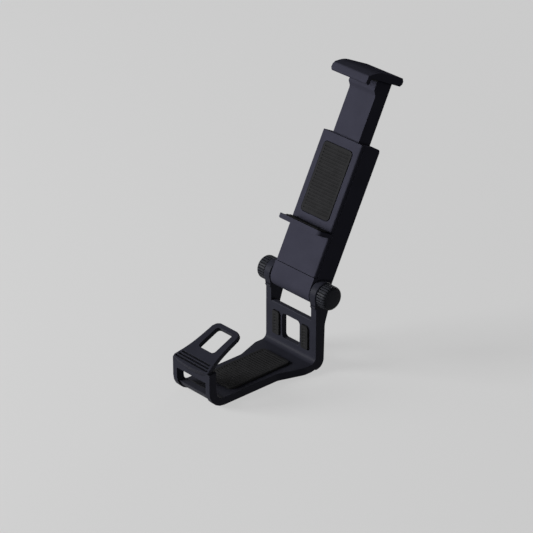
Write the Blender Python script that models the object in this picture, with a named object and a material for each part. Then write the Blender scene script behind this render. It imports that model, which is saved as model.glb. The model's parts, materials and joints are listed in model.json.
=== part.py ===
"""Clip-on holder: a cradle with a slotted tongue, a friction-held tilting arm and a sprung jaw.

The origin is the middle of the rubber seat in the cradle. +X is right, +Y is back, +Z is up.
"""

import math

import bmesh
import bpy
from mathutils import Vector

MM = 0.001
GAP = 0.3 * MM
ROUND_STEPS = 5
RIM = 0.6 * MM
FINE_RIM = 0.2 * MM

# Hinge: the axis runs along X through this point
HINGE_Y = 34.7 * MM
HINGE_Z = 35.8 * MM
ARM_LEAN = math.radians(27.0)

# Barrel of the arm, ears and legs of the cradle, and what joins them
ARM_HALF_WIDTH = 14.1 * MM
BARREL_RADIUS = 6.3 * MM
EAR_RADIUS = 6.65 * MM
EAR_THICKNESS = 4.3 * MM
EAR_LEAVE_ANGLE = math.radians(-50.0)
LEG_THICKNESS = 3.75 * MM
LEG_FRONT_REACH = 5.3 * MM
LEG_SHOULDER_DROP = 5.0 * MM
LEG_SHOULDER_STEP = 2.0 * MM
AXLE_RADIUS = 2.0 * MM
AXLE_HEAD_FLATS = 7.0 * MM
AXLE_HEAD_THICKNESS = 2.6 * MM
WASHER_RADIUS = 4.6 * MM
WASHER_THICKNESS = 1.0 * MM

# Knobs
KNOB_RADIUS = 6.3 * MM
KNOB_LENGTH = 6.1 * MM
KNOB_EDGE_RADIUS = 2.2 * MM
KNOB_CHAMFER = 0.35 * MM
KNOB_RIBS = 18
KNOB_GROOVE_DEPTH = 0.65 * MM
KNOB_GROOVE_SHAPE = (0.0, 0.0, 0.35, 1.0, 1.0, 0.35)
KNOB_EDGE_STEPS = 4

# Cradle: base strap, front wall with its slot, rear wall with its window
STRAP_THICKNESS = 4.0 * MM
STRAP_HALF_WIDTH = 13.65 * MM
STRAP_FRONT_RADIUS = 9.5 * MM
STRAP_REAR_RADIUS = 6.0 * MM
STRAP_FLARE_START_Y = 8.0 * MM
STRAP_FLARE_END_Y = 22.0 * MM
STRAP_FLARE_RADIUS = 8.0 * MM
FRONT_WALL_Y = -36.8 * MM
FRONT_WALL_THICKNESS = 4.4 * MM
FRONT_WALL_TOP_Z = 14.8 * MM
RAIL_WIDTH = 2.9 * MM
RAIL_HEIGHT = 0.8 * MM
SLOT_TOP_Z = 9.5 * MM
SLOT_BOTTOM_Z = 2.1 * MM
SLOT_CORNER_RADIUS = 1.0 * MM
REAR_WALL_THICKNESS = 3.0 * MM
REAR_WALL_TOP_Z = 22.2 * MM
REAR_WALL_RIM = 0.8 * MM
REAR_WINDOW_HALF_WIDTH = 6.5 * MM
REAR_WINDOW_BOTTOM_Z = 4.0 * MM
REAR_WINDOW_TOP_Z = 18.0 * MM
REAR_WINDOW_RADIUS = 2.0 * MM
LEG_WAIST_Y = 35.4 * MM
LEG_WAIST_DROP = 3.0 * MM
LEG_WAIST_RADIUS = 10.0 * MM
LEG_FOOT_Y = 34.8 * MM
LEG_FOOT_RADIUS = 4.5 * MM

# Tongue: measured along its slope from the middle of its front lip
TONGUE_SLOPE = math.radians(23.5)
TONGUE_LIP_Y = -38.7 * MM
TONGUE_LIP_Z = 15.3 * MM
TONGUE_LENGTH = 29.2 * MM
TONGUE_THICKNESS = 2.4 * MM
TONGUE_LIP_HALF_WIDTH = 13.6 * MM
TONGUE_LIP_BOW = 1.6 * MM
TONGUE_LIP_CORNER = 0.9 * MM
TONGUE_TIP_HALF_WIDTH = 8.9 * MM
TONGUE_TIP_RADIUS = 3.0 * MM
TONGUE_FLARE_LENGTH = 8.5 * MM
TONGUE_RIM = 0.5 * MM
TONGUE_WINDOW_START = 12.4 * MM
TONGUE_WINDOW_HALF_WIDTH = 5.75 * MM
TONGUE_WINDOW_RADIUS = 1.8 * MM
TONGUE_BAR_WIDTH = 2.4 * MM
GRIP_GROOVES = 3
GRIP_GROOVE_FIRST = 1.9 * MM
GRIP_GROOVE_PITCH = 1.75 * MM
GRIP_GROOVE_WIDTH = 0.95 * MM
GRIP_GROOVE_DEPTH = 0.65 * MM
GRIP_GROOVE_MARGIN = 1.6 * MM

# Rubber pads
PAD_THICKNESS = 1.2 * MM
PAD_POCKET_DEPTH = 0.6 * MM
PAD_CORNER_RADIUS = 1.2 * MM
PAD_MARGIN = 0.9 * MM
SEAT_PAD_HALF_WIDTH = 10.0 * MM
SEAT_PAD_HALF_LENGTH = 20.0 * MM
SEAT_PAD_RADIUS = 2.0 * MM
TONGUE_PAD_HALF_WIDTH = 8.5 * MM
TONGUE_PAD_LENGTH = 3.8 * MM
REAR_PAD_WIDTH = 5.0 * MM
REAR_PAD_HEIGHT = 13.0 * MM
LEDGE_PAD_HALF_WIDTH = 12.2 * MM
BACK_PAD_HALF_WIDTH = 10.0 * MM
BACK_PAD_END_MARGIN = 5.0 * MM
HOOD_PAD_HALF_WIDTH = 10.4 * MM

# Arm housing: n is the distance to the front of the hinge axis, u the distance along the arm
ARM_EDGE_RADIUS = 1.0 * MM
ARM_FRONT_N = 6.3 * MM
ARM_REAR_N = -7.7 * MM
ARM_TOP_U = 76.4 * MM
ARM_TOP_RADIUS = 1.6 * MM
ARM_FOOT_U = 3.0 * MM
ARM_REAR_WALL = 2.4 * MM
ARM_SIDE_WALL = 1.5 * MM
ARM_FLOOR_U = 8.0 * MM
GUIDE_LENGTH = 5.5 * MM
FRONT_PLATE_THICKNESS = 2.0 * MM
SEAM_U = 6.45 * MM
LEDGE_U = 27.7 * MM
LEDGE_THICKNESS = 2.0 * MM
LEDGE_FRONT_N = 15.2 * MM
LEDGE_HALF_WIDTH = 15.3 * MM
LEDGE_CORNER_RADIUS = 2.4 * MM
LEDGE_LIP_HEIGHT = 0.5 * MM
LEDGE_LIP_THICKNESS = 1.0 * MM
LEDGE_RIM = 0.4 * MM

# Screws that hold the front plates to the rear shell
SCREW_RADIUS = 0.8 * MM
SCREW_HEAD_RADIUS = 1.5 * MM
SCREW_HEAD_THICKNESS = 0.9 * MM
COVER_SCREW_LENGTH = 9.0 * MM
SLIDER_SCREW_LENGTH = 5.4 * MM
BOSS_RADIUS = 1.4 * MM
BOSS_WALL_CLEARANCE = 0.4 * MM
BOSS_LOW_U = 14.0 * MM
BOSS_TOP_DISTANCE = 10.4 * MM
BOSS_FLOOR = 1.0 * MM

# Slider and hood of the upper jaw, where the jaw stands at rest
SLIDER_WALL = 1.8 * MM
SLIDER_BOTTOM_U = 48.0 * MM
SLIDER_ROOF = 4.6 * MM
SLIDER_COVER_THICKNESS = 1.8 * MM
SLIDER_COVER_INSET = 1.5 * MM
SLIDER_SCREW_US = (72.0 * MM, 99.0 * MM)
HEEL_N = 6.3 * MM
HEEL_DROP = 8.1 * MM
HEEL_STEP = 2.4 * MM
HOOD_UNDER_U = 109.1 * MM
HOOD_HALF_WIDTH = 12.6 * MM
HOOD_RIM = 1.3 * MM
HOOD_LIP_INNER_N = 15.2 * MM
HOOD_LIP_OUTER_N = 18.1 * MM
HOOD_LIP_DROP = 3.5 * MM
HOOD_BROW_N = 17.5 * MM
HOOD_BROW_RISE = 0.8 * MM
HOOD_CROWN_N = 11.0 * MM
HOOD_CROWN_RISE = 3.9 * MM
HOOD_CROWN_RADIUS = 16.0 * MM
HOOD_TAB_N = -8.0 * MM
HOOD_TAB_RISE = 4.4 * MM

# Springs and the pins that hold their hooks
SPRING_X = 4.2 * MM
SPRING_N = -0.1 * MM
SPRING_COIL_RADIUS = 1.85 * MM
SPRING_WIRE_RADIUS = 0.33 * MM
SPRING_TURNS = 12
SPRING_TURN_STEPS = 8
SPRING_HOOK_REACH = 3.6 * MM
HOOK_TURN = math.radians(210.0)
PIN_RADIUS = 1.0 * MM
PIN_SEAT_DEPTH = 0.9 * MM
PIN_LOW_U = 11.5 * MM
PIN_HIGH_U = 58.0 * MM

# Colours of the pieces: linear red, green and blue, then roughness and metallic value
FINISHES = {
    "charcoal_shell": ((0.048, 0.047, 0.058), 0.42, 0.0),
    "charcoal_cradle": ((0.043, 0.042, 0.051), 0.46, 0.0),
    "black_knob": ((0.020, 0.020, 0.024), 0.50, 0.0),
    "black_rubber": ((0.012, 0.012, 0.013), 0.85, 0.0),
    "steel": ((0.46, 0.46, 0.48), 0.30, 1.0),
    "nylon": ((0.62, 0.61, 0.57), 0.55, 0.0),
}

# Places that follow from the sizes
EAR_INNER_X = ARM_HALF_WIDTH + 2.0 * GAP
EAR_OUTER_X = EAR_INNER_X + EAR_THICKNESS
LEG_OUTER_X = EAR_INNER_X + LEG_THICKNESS
KNOB_INNER_X = EAR_OUTER_X + GAP
KNOB_OUTER_X = KNOB_INNER_X + KNOB_LENGTH
REAR_WALL_FRONT_Y = HINGE_Y - LEG_FRONT_REACH
REAR_WALL_BACK_Y = REAR_WALL_FRONT_Y + REAR_WALL_THICKNESS
FRONT_WALL_BACK_Y = FRONT_WALL_Y + FRONT_WALL_THICKNESS
STRAP_TOP_Z = -(PAD_THICKNESS + GAP - PAD_POCKET_DEPTH)
STRAP_BOTTOM_Z = STRAP_TOP_Z - STRAP_THICKNESS
PLATE_BACK_N = ARM_FRONT_N - FRONT_PLATE_THICKNESS
SHELL_FRONT_N = PLATE_BACK_N - GAP
SLIDER_FRONT_N = PLATE_BACK_N - GAP
SLIDER_REAR_N = ARM_REAR_N + ARM_REAR_WALL + GAP
ARM_INNER_X = ARM_HALF_WIDTH - ARM_SIDE_WALL
BOSS_X = ARM_INNER_X - BOSS_RADIUS - BOSS_WALL_CLEARANCE
BOSS_HIGH_U = ARM_TOP_U - BOSS_TOP_DISTANCE
SLIDER_HALF_WIDTH = BOSS_X - BOSS_RADIUS - GAP
GUIDE_U = ARM_TOP_U - GUIDE_LENGTH
LEDGE_TOP_U = LEDGE_U + LEDGE_THICKNESS
SLIDER_POCKET_TOP_U = HOOD_UNDER_U - SLIDER_ROOF
HEEL_BOTTOM_U = HOOD_UNDER_U - HEEL_DROP
PAD_SINK = PAD_POCKET_DEPTH - GAP
LONG = 200.0 * MM


def clear_scene():
    """Remove every object that the file opened with."""
    for obj in list(bpy.data.objects):
        bpy.data.objects.remove(obj, do_unlink=True)


def make_finishes():
    """Make one Principled material for each finish and return them by name."""
    made = {}
    for name, (colour, roughness, metallic) in FINISHES.items():
        material = bpy.data.materials.new(name)
        material.use_nodes = True
        shader = material.node_tree.nodes["Principled BSDF"]
        shader.inputs["Base Color"].default_value = (*colour, 1.0)
        shader.inputs["Roughness"].default_value = roughness
        shader.inputs["Metallic"].default_value = metallic
        made[name] = material
    return made


def arc(centre, radius, start, end, steps):
    """Return points on an arc about centre, from angle start to angle end in radians."""
    turn = (end - start) / steps
    return [(centre[0] + radius * math.cos(start + turn * i),
             centre[1] + radius * math.sin(start + turn * i)) for i in range(steps + 1)]


def fillet(corners, steps=ROUND_STEPS):
    """Turn corners (a, b, radius) of a closed outline into points, rounding each by its radius."""
    points = []
    count = len(corners)
    for i, (a, b, radius) in enumerate(corners):
        here = Vector((a, b))
        if radius <= 0.0:
            points.append((a, b))
            continue
        back = (Vector(corners[i - 1][:2]) - here).normalized()
        ahead = (Vector(corners[(i + 1) % count][:2]) - here).normalized()
        half = back.angle(ahead) / 2.0
        centre = here + (back + ahead).normalized() * (radius / math.sin(half))
        first = here + back * (radius / math.tan(half)) - centre
        last = here + ahead * (radius / math.tan(half)) - centre
        start = math.atan2(first.y, first.x)
        turn = math.atan2(first.x * last.y - first.y * last.x, first.dot(last))
        points += arc(centre, radius, start, start + turn, steps)
    return points


def new_object(name, bm):
    """Put a bmesh into a new object at the origin."""
    bmesh.ops.recalc_face_normals(bm, faces=bm.faces)
    mesh = bpy.data.meshes.new(name)
    bm.to_mesh(mesh)
    bm.free()
    obj = bpy.data.objects.new(name, mesh)
    bpy.context.scene.collection.objects.link(obj)
    return obj


AXIS_PLACES = {
    "X": lambda a, b, along: (along, a, b),
    "Y": lambda a, b, along: (a, along, b),
    "Z": lambda a, b, along: (a, b, along),
}


def prism(name, outline, low, high, axis="X", rim=0.0, rim_steps=2, sharp=None):
    """Extrude an outline along an axis from low to high, and round its two rims by rim.

    sharp says of a rim edge's middle, as a place in space, whether that edge stays sharp.
    """
    place = AXIS_PLACES[axis]
    bm = bmesh.new()
    base = [bm.verts.new(place(a, b, low)) for a, b in outline]
    top = [bm.verts.new(place(a, b, high)) for a, b in outline]
    caps = [bm.faces.new(base), bm.faces.new(list(reversed(top)))]
    count = len(outline)
    for i in range(count):
        j = (i + 1) % count
        bm.faces.new((base[j], base[i], top[i], top[j]))
    if rim > 0.0:
        edges = list({edge for cap in caps for edge in cap.edges})
        if sharp:
            edges = [edge for edge in edges if not sharp((edge.verts[0].co + edge.verts[1].co) / 2.0)]
        bmesh.ops.bevel(bm, geom=edges, offset=rim, offset_type="OFFSET", segments=rim_steps,
                        profile=0.5, affect="EDGES", clamp_overlap=True)
    return new_object(name, bm)


def disc(name, centre, radius, low, high, axis="X", steps=32, rim=0.0):
    """Make a round bar along an axis, centred on a point of the plane across it."""
    outline = arc(centre, radius, 0.0, 2.0 * math.pi, steps)[:-1]
    return prism(name, outline, low, high, axis, rim)


def block(name, low, high, rim=0.0):
    """Make a box between two corners, with its upright edges plain."""
    outline = [(low[1], low[2]), (high[1], low[2]), (high[1], high[2]), (low[1], high[2])]
    return prism(name, outline, low[0], high[0], "X", rim)


def combine(target, tool, operation):
    """Join or cut target with tool, keep the result in target and drop the tool."""
    modifier = target.modifiers.new("combine", "BOOLEAN")
    modifier.solver = "EXACT"
    modifier.operation = operation
    modifier.object = tool
    bpy.context.view_layer.update()
    evaluated = target.evaluated_get(bpy.context.evaluated_depsgraph_get())
    result = bpy.data.meshes.new_from_object(evaluated)
    target.modifiers.remove(modifier)
    target.data = result
    bpy.data.objects.remove(tool, do_unlink=True)


def join(target, *tools):
    """Add each tool to target."""
    for tool in tools:
        combine(target, tool, "UNION")


def cut(target, *tools):
    """Take each tool away from target."""
    for tool in tools:
        combine(target, tool, "DIFFERENCE")


def finish(obj, material, parent=None, round_piece=False):
    """Give a piece its material and its shading, and hang it under its parent."""
    obj.data.materials.clear()
    obj.data.materials.append(material)
    if round_piece:
        obj.data.shade_smooth()
        obj.data.set_sharp_from_angle(angle=math.radians(35.0))
    obj.parent = parent
    return obj


def front(outline):
    """Turn (n, u) or (n, u, radius) points of the arm into (y, z), because n runs towards -Y."""
    return [(-point[0], *point[1:]) for point in outline]


def mirror_sides():
    """Name the two sides of the clip with the sign of their X."""
    return (("left", -1.0), ("right", 1.0))


def tongue_half_width(along):
    """Half the width of the tongue at a distance along its slope from the lip."""
    flare = TONGUE_LIP_HALF_WIDTH - TONGUE_TIP_HALF_WIDTH
    return TONGUE_TIP_HALF_WIDTH + flare * math.exp(-max(along - TONGUE_LIP_BOW, 0.0) / TONGUE_FLARE_LENGTH)


def tongue_outline():
    """Outline of the tongue on its own slope: bowed lip, flared sides and round tip."""
    stations = 9
    side_start = TONGUE_LIP_BOW + TONGUE_LIP_CORNER
    side_end = TONGUE_LENGTH - TONGUE_TIP_RADIUS
    side = [side_start + (side_end - side_start) * i / stations for i in range(stations + 1)]
    right = [(tongue_half_width(along), along) for along in side]
    tip_x = tongue_half_width(side_end) - TONGUE_TIP_RADIUS
    right += arc((tip_x, side_end), TONGUE_TIP_RADIUS, 0.0, math.pi / 2.0, ROUND_STEPS)[1:]
    corner_x = TONGUE_LIP_HALF_WIDTH - TONGUE_LIP_CORNER
    bow_steps = 8
    bow = []
    for i in range(bow_steps + 1):
        x = -corner_x + 2.0 * corner_x * i / bow_steps
        bow.append((x, TONGUE_LIP_BOW * (x / TONGUE_LIP_HALF_WIDTH) ** 2))
    left = [(-x, along) for x, along in reversed(right)]
    return bow + right + left


def on_tongue(obj):
    """Turn a piece made flat, with its top at Z = 0, onto the slope of the tongue."""
    for vertex in obj.data.vertices:
        x, along, up = vertex.co
        vertex.co = (x,
                     TONGUE_LIP_Y + along * math.cos(TONGUE_SLOPE) - up * math.sin(TONGUE_SLOPE),
                     TONGUE_LIP_Z + along * math.sin(TONGUE_SLOPE) + up * math.cos(TONGUE_SLOPE))
    return obj


def tongue_pad_start():
    """Where the tongue pad begins along the slope, just behind the front wall."""
    return (FRONT_WALL_BACK_Y - TONGUE_LIP_Y) / math.cos(TONGUE_SLOPE) + PAD_CORNER_RADIUS


def rounded_box(half_x, low_y, high_y, radius):
    """Outline of a rectangle about X = 0 with round corners."""
    return fillet([(-half_x, low_y, radius), (half_x, low_y, radius),
                   (half_x, high_y, radius), (-half_x, high_y, radius)])


def make_tongue():
    """Make the tongue with its window and grip grooves."""
    tongue = prism("tongue", tongue_outline(), -TONGUE_THICKNESS, 0.0, "Z", rim=TONGUE_RIM)
    window = rounded_box(TONGUE_WINDOW_HALF_WIDTH, TONGUE_WINDOW_START, TONGUE_LENGTH - TONGUE_BAR_WIDTH,
                         TONGUE_WINDOW_RADIUS)
    cut(tongue, prism("window", window, -LONG, LONG, "Z"))
    for i in range(GRIP_GROOVES):
        start = GRIP_GROOVE_FIRST + GRIP_GROOVE_PITCH * i
        groove_half = tongue_half_width(start) - GRIP_GROOVE_MARGIN
        groove = rounded_box(groove_half, start, start + GRIP_GROOVE_WIDTH, FINE_RIM)
        cut(tongue, prism("groove", groove, -GRIP_GROOVE_DEPTH, LONG, "Z"))
    pad_start = tongue_pad_start()
    pocket = rounded_box(TONGUE_PAD_HALF_WIDTH + GAP, pad_start - GAP,
                         pad_start + TONGUE_PAD_LENGTH + GAP, PAD_CORNER_RADIUS)
    cut(tongue, prism("pocket", pocket, -LONG, PAD_POCKET_DEPTH - TONGUE_THICKNESS, "Z"))
    return on_tongue(tongue)


def strap_side_outline():
    """Side outline of the strap: front wall, base and rear wall as one bent band."""
    inner_front = STRAP_FRONT_RADIUS - FRONT_WALL_THICKNESS
    inner_rear = STRAP_REAR_RADIUS - REAR_WALL_THICKNESS
    return fillet([
        (FRONT_WALL_Y, FRONT_WALL_TOP_Z, 0.0),
        (FRONT_WALL_Y, STRAP_BOTTOM_Z, STRAP_FRONT_RADIUS),
        (REAR_WALL_BACK_Y, STRAP_BOTTOM_Z, STRAP_REAR_RADIUS),
        (REAR_WALL_BACK_Y, REAR_WALL_TOP_Z, REAR_WALL_RIM),
        (REAR_WALL_FRONT_Y, REAR_WALL_TOP_Z, REAR_WALL_RIM),
        (REAR_WALL_FRONT_Y, STRAP_TOP_Z, inner_rear),
        (FRONT_WALL_BACK_Y, STRAP_TOP_Z, inner_front),
        (FRONT_WALL_BACK_Y, FRONT_WALL_TOP_Z, 0.0),
    ])


def strap_plan_outline():
    """Plan of the strap: narrow at the front, flared to the legs at the rear."""
    right = [(STRAP_HALF_WIDTH, -LONG, 0.0), (STRAP_HALF_WIDTH, STRAP_FLARE_START_Y, STRAP_FLARE_RADIUS),
             (LEG_OUTER_X, STRAP_FLARE_END_Y, STRAP_FLARE_RADIUS), (LEG_OUTER_X, LONG, 0.0)]
    left = [(-x, y, radius) for x, y, radius in reversed(right)]
    return fillet(right + left)


def leg_outline():
    """Side outline of a leg: straight front, waisted back, round ear on top."""
    ear = arc((HINGE_Y, HINGE_Z), EAR_RADIUS, EAR_LEAVE_ANGLE, math.pi, 14)
    shoulder_z = HINGE_Z - LEG_SHOULDER_DROP
    foot = fillet([
        (*ear[0], 0.0),
        (LEG_WAIST_Y, REAR_WALL_TOP_Z - LEG_WAIST_DROP, LEG_WAIST_RADIUS),
        (LEG_FOOT_Y, STRAP_BOTTOM_Z, LEG_FOOT_RADIUS),
        (REAR_WALL_FRONT_Y, STRAP_BOTTOM_Z, 0.0),
        (REAR_WALL_FRONT_Y, shoulder_z - LEG_SHOULDER_STEP, RIM),
        (HINGE_Y - EAR_RADIUS, shoulder_z, RIM),
    ])
    return foot[1:] + list(reversed(ear))


def make_cradle():
    """Mould the cradle in one piece: strap, tongue, legs and ears."""
    cradle = prism("cradle", strap_side_outline(), -LEG_OUTER_X, LEG_OUTER_X)
    plan = prism("plan", strap_plan_outline(), -LONG, LONG, "Z")
    combine(cradle, plan, "INTERSECT")

    web_half = STRAP_HALF_WIDTH - RAIL_WIDTH
    web_y = FRONT_WALL_Y + RAIL_HEIGHT
    web_z = STRAP_BOTTOM_Z + RAIL_HEIGHT
    web = fillet([
        (web_y, SLOT_TOP_Z, 0.0), (-LONG, SLOT_TOP_Z, 0.0), (-LONG, -LONG, 0.0),
        (STRAP_FLARE_END_Y, -LONG, 0.0), (STRAP_FLARE_END_Y, web_z, 0.0),
        (web_y, web_z, STRAP_FRONT_RADIUS - RAIL_HEIGHT),
    ])
    cut(cradle, prism("web", web, -web_half, web_half))

    slot = rounded_box(web_half, SLOT_BOTTOM_Z, SLOT_TOP_Z, SLOT_CORNER_RADIUS)
    cut(cradle, prism("slot", slot, -LONG, FRONT_WALL_BACK_Y + STRAP_FRONT_RADIUS, "Y"))
    window = rounded_box(REAR_WINDOW_HALF_WIDTH, REAR_WINDOW_BOTTOM_Z, REAR_WINDOW_TOP_Z, REAR_WINDOW_RADIUS)
    cut(cradle, prism("port", window, STRAP_FLARE_END_Y, LONG, "Y"))

    for _side, sign in mirror_sides():
        low, high = sorted((sign * EAR_INNER_X, sign * LEG_OUTER_X))
        join(cradle, prism("leg", leg_outline(), low, high, rim=RIM))
        low, high = sorted((sign * (EAR_INNER_X + RIM), sign * EAR_OUTER_X))
        join(cradle, disc("ear", (HINGE_Y, HINGE_Z), EAR_RADIUS, low, high, steps=32, rim=RIM))
    join(cradle, make_tongue())

    cut(cradle, disc("bore", (HINGE_Y, HINGE_Z), AXLE_RADIUS + GAP, -LONG, LONG, steps=24))
    pocket = rounded_box(SEAT_PAD_HALF_WIDTH + GAP, -SEAT_PAD_HALF_LENGTH - GAP,
                         SEAT_PAD_HALF_LENGTH + GAP, SEAT_PAD_RADIUS + GAP)
    cut(cradle, prism("pocket", pocket, STRAP_TOP_Z - PAD_POCKET_DEPTH, 0.0, "Z"))
    for _side, sign in mirror_sides():
        outline = rear_pad_outline(sign, GAP)
        cut(cradle, prism("pocket", outline, STRAP_FLARE_END_Y, REAR_WALL_FRONT_Y + PAD_POCKET_DEPTH, "Y"))
    return cradle


def rear_pad_outline(sign, margin):
    """Outline of a rear pad beside the window, or of its pocket with a margin."""
    centre_x = sign * (REAR_WINDOW_HALF_WIDTH + EAR_INNER_X) / 2.0
    centre_z = (REAR_WINDOW_BOTTOM_Z + REAR_WINDOW_TOP_Z) / 2.0
    half_x = REAR_PAD_WIDTH / 2.0 + margin
    half_z = REAR_PAD_HEIGHT / 2.0 + margin
    radius = PAD_CORNER_RADIUS + margin
    return fillet([(centre_x - half_x, centre_z - half_z, radius),
                   (centre_x + half_x, centre_z - half_z, radius),
                   (centre_x + half_x, centre_z + half_z, radius),
                   (centre_x - half_x, centre_z + half_z, radius)])


def make_cradle_pads():
    """Make the rubber pads that sit in the pockets of the cradle."""
    seat = prism("seat_pad", rounded_box(SEAT_PAD_HALF_WIDTH, -SEAT_PAD_HALF_LENGTH,
                                         SEAT_PAD_HALF_LENGTH, SEAT_PAD_RADIUS), -PAD_THICKNESS, 0.0, "Z")
    start = tongue_pad_start()
    top = PAD_SINK - TONGUE_THICKNESS
    tongue = prism("tongue_pad", rounded_box(TONGUE_PAD_HALF_WIDTH, start, start + TONGUE_PAD_LENGTH,
                                             PAD_CORNER_RADIUS), top - PAD_THICKNESS, top, "Z")
    pads = [seat, on_tongue(tongue)]
    back = REAR_WALL_FRONT_Y + PAD_SINK
    for side, sign in mirror_sides():
        pads.append(prism("rear_pad_" + side, rear_pad_outline(sign, 0.0), back - PAD_THICKNESS, back, "Y"))
    return pads


def boss_places():
    """Places (x, u) of the four screws that hold the front plates on."""
    return [(sign * BOSS_X, u) for u in (BOSS_LOW_U, BOSS_HIGH_U) for _side, sign in mirror_sides()]


def shell_outline():
    """Side outline of the rear shell: open front, round barrel, slanted foot and rear wall."""
    seam = SEAM_U - GAP / 2.0
    foot_angle = math.atan2(ARM_FOOT_U, ARM_REAR_N) - 2.0 * math.pi
    tangent_angle = foot_angle + math.acos(BARREL_RADIUS / math.hypot(ARM_REAR_N, ARM_FOOT_U))
    barrel = arc((0.0, 0.0), BARREL_RADIUS, 0.0, tangent_angle, 20)
    rest = fillet([(*barrel[-1], 0.0), (ARM_REAR_N, ARM_FOOT_U, ARM_TOP_RADIUS),
                   (ARM_REAR_N, ARM_TOP_U, ARM_TOP_RADIUS), (SHELL_FRONT_N, ARM_TOP_U, 0.0),
                   (SHELL_FRONT_N, seam, 0.0), (ARM_FRONT_N, seam, 0.0)])
    return front(barrel + rest[1:])


def make_rear_shell():
    """Make the rear shell: barrel, solid foot and an open channel closed by the front plates."""
    def sharp(middle):
        return middle.z > SEAM_U - GAP and middle.y < 0.0 or middle.z > ARM_TOP_U - RIM

    shell = prism("rear_shell", shell_outline(), -ARM_HALF_WIDTH, ARM_HALF_WIDTH, rim=ARM_EDGE_RADIUS,
                  rim_steps=3, sharp=sharp)
    guide_x = SLIDER_HALF_WIDTH + GAP
    channel = [(-ARM_INNER_X, ARM_FLOOR_U), (ARM_INNER_X, ARM_FLOOR_U), (ARM_INNER_X, GUIDE_U),
               (guide_x, GUIDE_U), (guide_x, LONG), (-guide_x, LONG), (-guide_x, GUIDE_U),
               (-ARM_INNER_X, GUIDE_U)]
    cut(shell, prism("channel", channel, -LONG, -ARM_REAR_N - ARM_REAR_WALL, "Y"))
    cut(shell, disc("bore", (0.0, 0.0), AXLE_RADIUS + GAP, -LONG, LONG, steps=24))
    for _side, sign in mirror_sides():
        floor = ARM_HALF_WIDTH - WASHER_THICKNESS
        low, high = sorted((sign * floor, sign * LONG))
        cut(shell, disc("counterbore", (0.0, 0.0), WASHER_RADIUS + GAP, low, high, steps=32))
    for x, u in boss_places():
        cut(shell, disc("hole", (x, u), SCREW_RADIUS + GAP, 0.0, LONG, "Y", 12))
        head_floor = -ARM_REAR_N - SCREW_HEAD_THICKNESS - GAP
        cut(shell, disc("head", (x, u), SCREW_HEAD_RADIUS + GAP, head_floor, LONG, "Y", 16))
    for _side, sign in mirror_sides():
        low, high = sorted((sign * BOSS_X, sign * (ARM_INNER_X + PIN_SEAT_DEPTH)))
        cut(shell, disc("pin_seat", (-SPRING_N, PIN_LOW_U), PIN_RADIUS + GAP, low, high, steps=16))
    return shell


def make_plate(name, low_u, high_u):
    """Make a plate that covers the channel between two heights, with round front edges."""
    outline = fillet([(-ARM_HALF_WIDTH, -PLATE_BACK_N, 0.0), (-ARM_HALF_WIDTH, -ARM_FRONT_N, ARM_EDGE_RADIUS),
                      (ARM_HALF_WIDTH, -ARM_FRONT_N, ARM_EDGE_RADIUS), (ARM_HALF_WIDTH, -PLATE_BACK_N, 0.0)])
    return prism(name, outline, low_u, high_u, "Z", rim=FINE_RIM)


def add_bosses(plate, height_u):
    """Give a front plate its pair of screw bosses, which reach back to the rear wall."""
    boss_root = -PLATE_BACK_N - FRONT_PLATE_THICKNESS / 2.0
    pilot_floor = -PLATE_BACK_N + BOSS_FLOOR
    for _side, sign in mirror_sides():
        centre = (sign * BOSS_X, height_u)
        join(plate, disc("boss", centre, BOSS_RADIUS, boss_root, -SLIDER_REAR_N, "Y", 16))
        cut(plate, disc("pilot", centre, SCREW_RADIUS + GAP / 2.0, pilot_floor, LONG, "Y", 12))


def make_front_cover():
    """Make the plain cover between the barrel's seam and the ledge."""
    cover = make_plate("front_cover", SEAM_U + GAP / 2.0, LEDGE_U - GAP)
    add_bosses(cover, BOSS_LOW_U)
    return cover


def make_lower_jaw():
    """Make the lower jaw: a tall back plate with the ledge and its low lip on the front."""
    jaw = make_plate("lower_jaw", LEDGE_U, ARM_TOP_U)
    inner_y = -(PLATE_BACK_N + FRONT_PLATE_THICKNESS / 2.0)
    ledge = fillet([(-LEDGE_HALF_WIDTH, inner_y, RIM), (-LEDGE_HALF_WIDTH, -LEDGE_FRONT_N, LEDGE_CORNER_RADIUS),
                    (LEDGE_HALF_WIDTH, -LEDGE_FRONT_N, LEDGE_CORNER_RADIUS), (LEDGE_HALF_WIDTH, inner_y, RIM)])
    join(jaw, prism("ledge", ledge, LEDGE_U, LEDGE_TOP_U + LEDGE_LIP_HEIGHT, "Z", rim=LEDGE_RIM))
    cut(jaw, block("rest", (-LONG, -(LEDGE_FRONT_N - LEDGE_LIP_THICKNESS), LEDGE_TOP_U),
                   (LONG, -ARM_FRONT_N, LEDGE_TOP_U + LEDGE_THICKNESS)))
    cut(jaw, prism("pocket", ledge_pad_outline(GAP), LEDGE_TOP_U - PAD_POCKET_DEPTH, BOSS_HIGH_U, "Z"))
    cut(jaw, prism("pocket", back_pad_outline(GAP), -LONG, -(ARM_FRONT_N - PAD_POCKET_DEPTH), "Y"))
    add_bosses(jaw, BOSS_HIGH_U)
    return jaw


def ledge_pad_outline(margin):
    """Plan of the ledge pad, or of its pocket with a margin."""
    rear_y = -(ARM_FRONT_N + PAD_MARGIN) + margin
    front_y = -(LEDGE_FRONT_N - LEDGE_LIP_THICKNESS - PAD_MARGIN) - margin
    return rounded_box(LEDGE_PAD_HALF_WIDTH + margin, front_y, rear_y, PAD_CORNER_RADIUS)


def back_pad_outline(margin):
    """Front outline of the back pad, or of its pocket with a margin."""
    low_u = LEDGE_TOP_U + BACK_PAD_END_MARGIN - margin
    high_u = ARM_TOP_U - BACK_PAD_END_MARGIN + margin
    return rounded_box(BACK_PAD_HALF_WIDTH + margin, low_u, high_u, SEAT_PAD_RADIUS + margin)


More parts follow.
